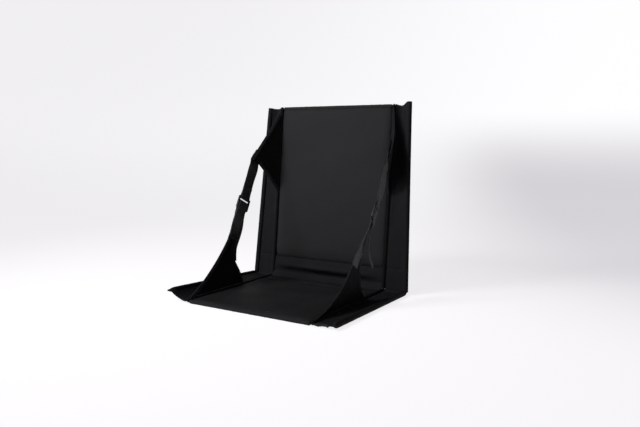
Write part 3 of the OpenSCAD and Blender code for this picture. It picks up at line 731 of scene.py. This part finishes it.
# The turned ends take the hem cloth, whose lighter colour is a painted highlight.
for panel, place in PANELS.items():
    for side, mirror in SIDES.items():
        radius, pucker = LUMPY_ROLL if (panel, side) == ("seat", "right") else PLAIN_ROLL
        bm = closed_tube(roll_lay(strip_end(panel, side), radius, pucker), 16, 44)
        finish_piece(f"{panel}_strip_end_hem_{side}", bm, place @ mirror, hem_cloth_painted_highlight, panel, [])

# %% [markdown]
# ## Rods and their caps
# The rods and the boards are hardly seen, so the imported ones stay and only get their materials.
# Each rod's end has a plastic plug. A short cylinder with a rounded rim makes it.

# %% Rod caps
PLUG_R, PLUG_DEPTH = 5 * MM, 2 * MM
ROD_INSET = 12 * MM


def plug_matrix(panel, side, at_end):
    start, end = rod_ends(panel, side)
    along = (end - start).normalized()
    turn = along.to_track_quat("Z", "X").to_matrix().to_4x4()
    if at_end:
        return Matrix.Translation(end - along * ROD_INSET) @ turn
    back_to_front = Matrix.Rotation(pi, 4, "X") @ Matrix.Translation((0, 0, -PLUG_DEPTH))
    return Matrix.Translation(start) @ turn @ back_to_front


def rod_plug(place):
    plug = cylinder(PLUG_R, PLUG_DEPTH, 32, Matrix.Translation((0, 0, PLUG_DEPTH / 2)))
    rim = [e for e in plug.edges if min(v.co.z for v in e.verts) > PLUG_DEPTH - 0.1 * MM]
    round_off(plug, rim, 1.1 * MM, 4)
    bmesh.ops.transform(plug, matrix=place, verts=plug.verts)
    return plug


def repaint(name, material):
    """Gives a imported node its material."""
    materials = frame["nodes"][name].data.materials
    materials.clear()
    materials.append(material)


for panel, place in PANELS.items():
    bm = joined([rod_plug(mirror @ plug_matrix(panel, side, at_end))
                 for side, mirror in SIDES.items() for at_end in (False, True)])
    finish_piece(f"{panel}_rod_plugs", bm, place, cap_plastic, panel, [f"{panel}_rod_caps"])
    for side in SIDES:
        repaint(f"{panel}_rod_{side}", steel)
    repaint(f"{panel}_board", board_plastic)

# %% [markdown]
# ## The slack hinge cloth
# Between the pads the cloth is left long so that the chair can fold. It bulges under the back
# pad, tucks in and runs onto the seat. A smooth line through a few measured points gives that
# section, and its bulge fades toward both seams. Two pieces share it, split along the line with
# a small overlap.

# %% Hinge cloth
def smooth_line(points, t):
    """A point on the smooth line through the points."""
    last = len(points) - 1
    k = min(int(t * last), last - 1)
    s = t * last - k
    p0, p1, p2, p3 = (points[min(max(k + d, 0), last)] for d in (-1, 0, 1, 2))
    return 0.5 * (2 * p1 + (p2 - p0) * s + (2 * p0 - 5 * p1 + 4 * p2 - p3) * s * s
                  + (3 * p1 - p0 - 3 * p2 + p3) * s ** 3)


# Each point has its panel, its share of the way to that pad, its height in mm beside the seam
# and its height as a share of the bulge in the middle.
BULGE = 17 * MM
FOLDS = (
    ("back", 1, 1, 0.07), ("back", 0.84, 1.2, 0.36), ("back", 0.66, 1.5, 0.8),
    ("back", 0.5, 1.8, 1.02), ("back", 0.36, 2, 0.86), ("back", 0.22, 2.4, 0.34),
    ("back", -0.02, 2.6, 0.08), ("seat", -0.06, 2, 0.08), ("seat", 0.3, 1.6, 0.18),
    ("seat", 0.66, 1.4, 0.3), ("seat", 1, 1, 0.07),
)
HINGE_SPLIT, HINGE_OVERLAP = 0.62, 0.004


def fold_point(fold, share):
    panel, reach, edge, middle = fold
    w = blended(edge * MM, middle * BULGE, 1 - share * share)
    return PANELS[panel] @ Vector((share * (PAD_HALF_WIDTH + 3 * MM), reach * PAD[panel][0], w))


def hinge_lay(first, last):
    def lay(a, b):
        share = 2 * a - 1
        t = blended(first, last, b)
        here = smooth_line([fold_point(f, share) for f in FOLDS], t)
        x = share * PAD_HALF_WIDTH
        loose = hump(t) * (1 - share ** 4)
        here.y += loose * (1.3 * MM * ripple(x, t * 0.05, 34 * MM, 41)
                           + 0.7 * MM * ripple(x, t * 0.1, 13 * MM, 42))
        here.z += loose * 0.9 * MM * ripple(x, t * 0.08, 22 * MM, 43)
        return here
    return lay


for name, first, last, bodies in (
    ("hinge_cloth_upper", 0.0, HINGE_SPLIT, ("hinge_fabric", "back")),
    ("hinge_cloth_lower", HINGE_SPLIT - HINGE_OVERLAP, 1.0, ("seat", "hinge_fabric")),
):
    bm, flat = cut_sheet(90, 60, hinge_lay(first, last))
    cloth = finish_piece(name, bm, Matrix.Identity(4), cut_cloth, None, ["hinge_cloth"], rides=False)
    thicken(cloth, 1 * MM)
    bake(cloth)
    cloth.data.shade_smooth()
    if bodies[1] == "back":
        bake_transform(cloth)
    else:
        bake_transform(cloth)


FOLD_DIP = 7 * MM


def side_fold_lay(a, b):
    """The fold outside the seam: it dips between the back strip's foot and the seat's strip."""
    x = blended(PAD_HALF_WIDTH - 1 * MM, HINGE_ROD_X + 4.5 * MM, a)
    top = BACK @ Vector((x, -FOOT_DROP + 1.5 * MM, 0.5 * MM))
    end = SEAT @ Vector((x, 4 * MM, 0.5 * MM))
    low = Vector((x, blended(top.y, end.y, 0.5), end.z - FOLD_DIP))
    return top.lerp(low, b).lerp(low.lerp(end, b), b)


for side, mirror in SIDES.items():
    bm, flat = cut_sheet(30, 16, side_fold_lay)
    fold = finish_piece(f"hinge_corner_fold_{side}", bm, mirror, cut_cloth, "hinge_fabric",
                        [f"hinge_side_fold_{side}"])
    thicken(fold, 1 * MM)

# %% [markdown]
# ## Wings
# A triangular wing of cloth stands on each seam and ends in the strap. Two of its edges are
# hemmed and pull in a little between their ends, and the cloth between them billows. One sheet
# makes the panel, and two flat tubes folded over its free edges make the hems.

# %% Wings
WING_FOOT = 5.8 * MM + 1.3 * MM * sin(radians(17.5))
WEBBING_WIDTH = 28 * MM
APEX_SHARE = 0.3
LOCK_SHARE = 0.46
# Each wing's tip and lean, its two ends on the seam, and how much its front and rear edges sag.
# The last number moves the rear edge's sag toward the tip.
WINGS = {
    "seat": {
        "apex": (155 * MM, 106 * MM), "lean": radians(6),
        "base": {"left": (317 * MM, 124 * MM), "right": (317 * MM, 99 * MM)},
        "sags": {"left": (-0.08, -0.75, 2.6), "right": (-0.28, -0.2, 1)},
    },
    "back": {
        "apex": (299 * MM, 75 * MM), "lean": radians(17.5),
        "base": {"left": (436 * MM, 218 * MM), "right": (436 * MM, 222 * MM)},
        "sags": {"left": (-0.02, -0.04, 1), "right": (-0.2, -0.08, 1)},
    },
}
WING_OUTWARD = {("back", "right"): 8 * MM}
HEM_TILT = radians(22)


def wing_matrix(kind):
    """The wing's own u along the seam, v up its slope and n outward, in its panel."""
    s, c = sin(WINGS[kind]["lean"]), cos(WINGS[kind]["lean"])
    return Matrix(((0, s, c, SEAM_X), (1, 0, 0, 0), (0, c, -s, WING_FOOT), (0, 0, 0, 1)))


WING_PLACE = {kind: PANELS[kind] @ wing_matrix(kind) for kind in WINGS}
strap_foot, strap_head = (place @ Vector((*WINGS[kind]["apex"], 0)) for kind, place in WING_PLACE.items())
strap_s = (strap_head - strap_foot).normalized()
strap_q = strap_s.cross(Vector((1, 0, 0))).normalized()
strap_p = strap_q.cross(strap_s)
strap_length = (strap_head - strap_foot).length
lock_place = strap_foot.lerp(strap_head, LOCK_SHARE)
print("strap length", round(strap_length / MM, 1), "mm, lock at", [round(c, 4) for c in lock_place])


def bowed(a, b, sag, t, late=1):
    """A point on an edge that pulls in between its ends, toward b when late is over 1."""
    chord = b - a
    return a.lerp(b, t) + Vector((chord.y, -chord.x)) * sag * 2 * t ** late * (1 - t)


def wing_edges(kind, side):
    """The wing's two free edges, from its base to the ends of its cut apex, in u and v."""
    wing = WINGS[kind]
    to_wing = WING_PLACE[kind].inverted().to_3x3()
    along = Vector((to_wing @ strap_s).xy).normalized() * (1 if kind == "seat" else -1)
    across = Vector((to_wing @ strap_q).xy).normalized()
    apex = Vector(wing["apex"]) + along * APEX_SHARE * WEBBING_WIDTH
    near, far = apex - across * WEBBING_WIDTH / 2, apex + across * WEBBING_WIDTH / 2
    first, second = (Vector((u, 0)) for u in wing["base"][side])
    front_sag, rear_sag, late = wing["sags"][side]
    return (lambda t: bowed(first, near, front_sag, t)), (lambda t: bowed(second, far, -rear_sag, t, late))


def wing_lay(front, rear, outward, seed):
    def lay(a, b):
        here = front(b).lerp(rear(b), a)
        billow = 2.2 * MM * hump(a) * hump(b ** 0.8) * (0.6 + ripple(here.x, here.y, 60 * MM, seed))
        billow += 0.8 * MM * ripple(here.x * 1.6, here.y * 0.6, 17 * MM, seed + 1) * hump(a)
        billow += outward * hump(b) * (1 - a)
        return Vector((here.x, here.y, billow))
    return lay


def hem_lay(edge, inward, bow, seed):
    """A flat tube that follows an edge: a goes once round it, b along it."""
    def lay(a, b):
        here, ahead = edge(b), edge(min(1, b + 0.02)) - edge(max(0, b - 0.02))
        inner = Vector((ahead.y, -ahead.x)).normalized() * inward
        turn = 2 * pi * a
        width = (4.2 + 0.5 * ripple(b, 0.2, 0.06, seed)) * MM
        flat = width - 0.2 * MM + width * cos(turn)
        across = here + inner * flat * cos(HEM_TILT)
        thick = 1.7 * MM * copysign(abs(sin(turn)) ** 0.7, sin(turn))
        thick += (width - flat) * sin(HEM_TILT)
        pucker = 0.35 * MM * ripple(b * 0.2, a * 0.01, 6 * MM, seed + 2) + bow * hump(b)
        return Vector((across.x, across.y, thick + pucker))
    return lay


for kind, wing in WINGS.items():
    for side, mirror in SIDES.items():
        front, rear = wing_edges(kind, side)
        middle = (front(0.5) + rear(0.5)) / 2
        seed = 51 + 3 * (side == "left") + 7 * (kind == "back")
        outward = WING_OUTWARD.get((kind, side), 0.0)
        place = mirror @ WING_PLACE[kind]
        bm, _ = cut_sheet(44, 44, wing_lay(front, rear, outward, seed))
        body = f"{kind}_wing_{side}_body"
        cloth = finish_piece(f"{kind}_wing_cloth_{side}", bm, place, cut_cloth, body,
                             [f"{kind}_wing_{side}"])
        thicken(cloth, 1.3 * MM)
        # The hems take the hem cloth, whose lighter colour is a painted highlight.
        for label, edge, bow in (("front", front, outward), ("rear", rear, 0.0)):
            ahead = edge(0.55) - edge(0.45)
            inward = 1 if Vector((ahead.y, -ahead.x)).dot(middle - edge(0.5)) > 0 else -1
            bm = closed_tube(hem_lay(edge, inward, bow, seed + len(label)), 16, 70)
            finish_piece(f"{kind}_wing_{label}_hem_{side}", bm, place, hem_cloth_painted_highlight, body, [])

# %% [markdown]
# ## Straps
# On each side one length of webbing is sewn to the seat's wing, runs up through the lock and hangs
# down as a loose tail. It is made as two overlapping pieces, because its foot swings with the
# seat's wing and the rest with the lock. A second length is sewn to the back's wing and loops
# round the lock's top bar. Each piece is a straight-sided ribbon along a smooth line, with the
# direction of its width given at each point.

# %% Straps
LAYER = 0.85 * MM
BAR_LOOP = 3.2 * MM
TOP_BAR, BOTTOM_BAR = 11 * MM, -16 * MM
SEWN_OFF = 2.3 * MM
APEX_REACH = APEX_SHARE * WEBBING_WIDTH
TAB_S, LOOP_CLOSE, LOOP_TOP = -22 * MM, 28 * MM, 45 * MM
TAIL_LENGTH = 135 * MM
# Three points pull each tail, as shares of its length from the lock. The last number turns its width.
TAILS = {
    "left": ([(0.06, -0.14, -0.35), (0.08, -0.25, -0.76), (0.06, -0.25, -1.1)], 0.0),
    "right": ([(0.04, -0.19, -0.335), (0.06, -0.155, -0.68), (0.045, 0.057, -0.907)], -0.1),
}
# The straps' bow in metres and their twist in degrees below, at and above the lock.
BOW = {"left": Vector((0, 0, 0)), "right": Vector((9, 5, 0)) * MM}
TWIST = {"left": (23, 13, 15), "right": (27, 16, 2)}


def on_strap(p, s):
    return lock_place + strap_p * p + strap_s * s


def ribbon(path, widths, seed, steps, wave):
    """Webbing along a smooth line. Its width direction turns smoothly from point to point."""
    def lay(a, b):
        here = smooth_line(path, b)
        ahead = smooth_line(path, min(1, b + 0.01)) - smooth_line(path, max(0, b - 0.01))
        ahead, across = ahead.normalized(), smooth_line(widths, b)
        across = (across - ahead * across.dot(ahead)).normalized()
        out = across.cross(ahead).normalized()
        cup = 0.35 * MM * cos(pi * (2 * a - 1)) * ripple(b, 0.3, 0.11, seed)
        lift = cup + wave * MM * ripple(b, 0.6, 0.16, seed)
        return here + across * WEBBING_WIDTH * (a - 0.5) + out * lift
    return cut_sheet(10, steps, lay)


def sewn_on(kind, apex):
    """Where webbing lies on a wing's tip, the way it runs there and the way of its width."""
    out = WING_PLACE[kind].to_3x3().col[2]
    along = (strap_s - out * strap_s.dot(out)).normalized()
    return apex + out * SEWN_OFF, along, along.cross(out)


foot, lower_s, lower_q = sewn_on("seat", strap_foot)
head, upper_s, upper_q = sewn_on("back", strap_head)
bottom_s, top_s = -strap_length * LOCK_SHARE, strap_length * (1 - LOCK_SHARE)
lower_end = TAB_S - 3.4 * MM
lower_path = [foot - lower_s * 24 * MM, foot - lower_s * 12 * MM, foot, foot + lower_s * APEX_REACH]
lower_path += [on_strap(LAYER, blended(bottom_s, lower_end, t)) for t in (0.4, 0.7, 1)]
lower_widths = [lower_q] * 4 + [strap_q] * 3


def slackened(bm, side, share=None):
    """Bows and twists a strap's pieces, fading at both ends. A piece given its share turns as one."""
    low, middle, high = TWIST[side]
    for v in bm.verts:
        t = (v.co - strap_foot).dot(strap_s) / strap_length
        level = t if share is None else share
        on_line = strap_foot + strap_s * t * strap_length
        loose = (v.co - on_line).dot(strap_p) > 2 * MM and level < 0.3 and share is None
        turn = blended(low, middle, after(level, 0.28, 0.08))
        turn = blended(turn, high, after(level, 0.56, 0.12))
        # The loose tail keeps some of its turn down to its tip.
        ends = eased(level / 0.3 + 0.1) if loose else after(level, 0.02, 0.2)
        turn *= ends * (1 - after(level, 0.84, 0.14))
        away = Matrix.Rotation(radians(turn), 3, strap_s) @ (v.co - on_line)
        v.co = on_line + away + BOW[side] * hump(level)


def curve_point(points, t):
    """A point on the curve that the points pull, ending at the last."""
    while len(points) > 1:
        points = [a.lerp(b, t) for a, b in zip(points, points[1:])]
    return points[0]


def half_turn(bar_s, start):
    """Points of a half turn round a lock's bar, from a start angle in degrees."""
    angles = (radians(start - 30 * k) for k in range(7))
    return [on_strap(BAR_LOOP * cos(a), bar_s + BAR_LOOP * sin(a)) for a in angles]


def adjusting_path(side):
    """Up behind the lock, round its middle bar, out under its bottom bar and down as the tail."""
    shares, twist = TAILS[side]
    pulls = [on_strap(4.4 * MM, TAB_S - 2 * MM)]
    pulls += [lock_place + TAIL_LENGTH * Vector(share) for share in shares]
    rise = 2 * APEX_REACH + bottom_s
    path = [on_strap(-LAYER, blended(rise, TAB_S - 2 * MM, t)) for t in (0, 0.35, 0.7, 1)]
    path += [on_strap(-BAR_LOOP, BOTTOM_BAR)] + half_turn(0, 180) + [on_strap(BAR_LOOP, BOTTOM_BAR)]
    path += [curve_point(pulls, k / 10) for k in range(11)]
    last = len(path) - 1
    turned = (Vector((twist * max(0, 1 - (last - k) / 10), 0, 0)) for k in range(last + 1))
    return path, [strap_q + turn for turn in turned]


upper_path = [head + upper_s * 20 * MM + upper_q * 4 * MM,
              head + upper_s * 10 * MM + upper_q * 2 * MM, head, head - upper_s * APEX_REACH]
upper_path += [on_strap(LAYER, blended(top_s, LOOP_TOP, t)) for t in (0.3, 0.65, 1)]
upper_path += [on_strap(LAYER, LOOP_CLOSE)] + half_turn(TOP_BAR, 0)
upper_path += [on_strap(-LAYER, LOOP_CLOSE), on_strap(-LAYER, LOOP_TOP)]
upper_widths = [upper_q] * 4 + [upper_q + strap_q] + [strap_q] * (len(upper_path) - 5)

for side, mirror in SIDES.items():
    path, widths = adjusting_path(side)
    for name, body, route, across, steps, wave in (
        ("lower_strap", f"lower_strap_{side}_body", lower_path, lower_widths, 110, 0.3),
        ("adjusting_strap", f"back_wing_{side}_body", path, widths, 240, 0.0),
        ("upper_strap", f"back_wing_{side}_body", upper_path, upper_widths, 110, 0.3),
    ):
        bm, flat = ribbon(route, across, 71 + (side == "left"), steps, wave)
        slackened(bm, side)
        strap = finish_piece(f"{name}_webbing_{side}", bm, mirror, webbing, body, [f"{name}_{side}"])
        thicken(strap, 1.35 * MM)
        print(strap.name, "flat", [round(f / MM) for f in flat], "mm")

# %% [markdown]
# ## Ladder locks
# The lock is one moulding: two side rails, three bars that the webbing is threaded round, and a
# thumb tab to tilt it. Blocks with rounded edges and plain cylinders make it, and three ribs on
# the tab give the thumb its grip.

# %% Ladder locks
LOCK_HALF, BAR_R = 14.6 * MM, 2.2 * MM
RAIL = (5.6 * MM, 4.5 * MM, 32.6 * MM)
TAB = (2 * MM, 2 * LOCK_HALF + 4.5 * MM, 6.6 * MM)
TAB_TILT = radians(-21.8)
RIB = (0.9 * MM, 2 * LOCK_HALF - 6 * MM, 0.8 * MM)
RIB_PITCH = 1.7 * MM


def rounded_block(size, place, offset, segments=3):
    part = bmesh.new()
    bmesh.ops.create_cube(part, size=1, matrix=Matrix.Diagonal((*size, 1)))
    round_off(part, part.edges[:], offset, segments)
    bmesh.ops.transform(part, matrix=place, verts=part.verts)
    return part


def lock_mesh():
    """The lock in its own measure: x through it, y across the webbing, z up the strap."""
    parts = []
    for hand in (-1, 1):
        rail_place = (0, hand * (LOCK_HALF + RAIL[1] / 2), -2.5 * MM)
        parts.append(rounded_block(RAIL, Matrix.Translation(rail_place), 1.5 * MM, 4))
    lying = Matrix.Rotation(pi / 2, 4, "X")
    for s in (TOP_BAR, 0, BOTTOM_BAR):
        place = Matrix.Translation((0, 0, s)) @ lying
        parts.append(cylinder(BAR_R, 2 * LOCK_HALF + 2 * MM, 28, place))
    tilt = Matrix.Translation((1.2 * MM, 0, -19 * MM)) @ Matrix.Rotation(TAB_TILT, 4, "Y")
    parts.append(rounded_block(TAB, tilt, 0.8 * MM))
    for k in (-1, 0, 1):
        on_tab = tilt @ Matrix.Translation((1.1 * MM, 0, k * RIB_PITCH))
        parts.append(rounded_block(RIB, on_tab, 0.3 * MM, 2))
    return joined(parts)


lock_turn = Matrix((strap_p, strap_q, strap_s)).transposed().to_4x4()
for side, mirror in SIDES.items():
    bm = lock_mesh()
    bmesh.ops.transform(bm, matrix=Matrix.Translation(lock_place) @ lock_turn, verts=bm.verts)
    slackened(bm, side, LOCK_SHARE)
    finish_piece(f"ladder_lock_body_{side}", bm, mirror, lock_plastic, f"back_wing_{side}_body",
                 [f"ladder_lock_{side}"])

# %% [markdown]
# ## Stitches
# Every seam of the real chair is a lockstitch in tone-on-tone thread, about eight stitches to the
# inch. Each stitch is a tiny stretched ball with few faces, and a row of them follows a line.

# %% Stitches
STITCH = Matrix.Diagonal((1.2 * MM, 0.33 * MM, 0.3 * MM, 1))
STITCH_PITCH = 3.2 * MM
STITCH_RISE = 0.75 * MM
ROW_STEPS = 400


def stitch_row(bm, line):
    """Sews a row along line(t), on cloth that faces up in its panel's measure."""
    points = [line(k / ROW_STEPS) for k in range(ROW_STEPS + 1)]
    run, count = 0.0, 0
    for a, b in zip(points, points[1:]):
        run += (b - a).length
        if run < STITCH_PITCH:
            continue
        run -= STITCH_PITCH
        along = (b - a).normalized()
        side = UP.cross(along).normalized()
        turn = Matrix((along, side, along.cross(side))).transposed().to_4x4()
        place = Matrix.Translation(b) @ turn @ STITCH
        bmesh.ops.create_icosphere(bm, subdivisions=1, radius=1, matrix=place)
        count += 1
    return count


def on_strip(panel, side):
    """The place of a stitch on a side strip, from its lay's a and b."""
    lay = strip_lay(panel, side)
    hand = -1 if side == "left" else 1

    def place(a, b):
        x, y, z = lay(a, b)
        return Vector((hand * x, y, z + STITCH_RISE))
    return place


foot_row = (PAD["back"][0] + FOOT_DROP) / (LENGTH["back"] + FOOT_DROP)
for panel, crossings in (("seat", (0.975,)), ("back", (0.975, foot_row))):
    bm, count = bmesh.new(), 0
    for side in SIDES:
        place = on_strip(panel, side)
        for a in (0.07, STRIP_SHARE - 0.035):
            count += stitch_row(bm, lambda t: place(a, t))
        for b in crossings:
            count += stitch_row(bm, lambda t: place(blended(0.03, STRIP_SHARE - 0.03, t), b))
    row_end = PAD_HALF_WIDTH - 3 * MM
    for u, w in ((LENGTH[panel] - 11.5 * MM, 5.7 * MM), (PAD[panel][0] + 1.5 * MM, 2.0 * MM)):
        count += stitch_row(bm, lambda t: Vector((blended(-row_end, row_end, t), u, w)))
    finish_piece(f"{panel}_stitching", bm, PANELS[panel], thread, panel, [])
    print(count, "stitches on the", panel)
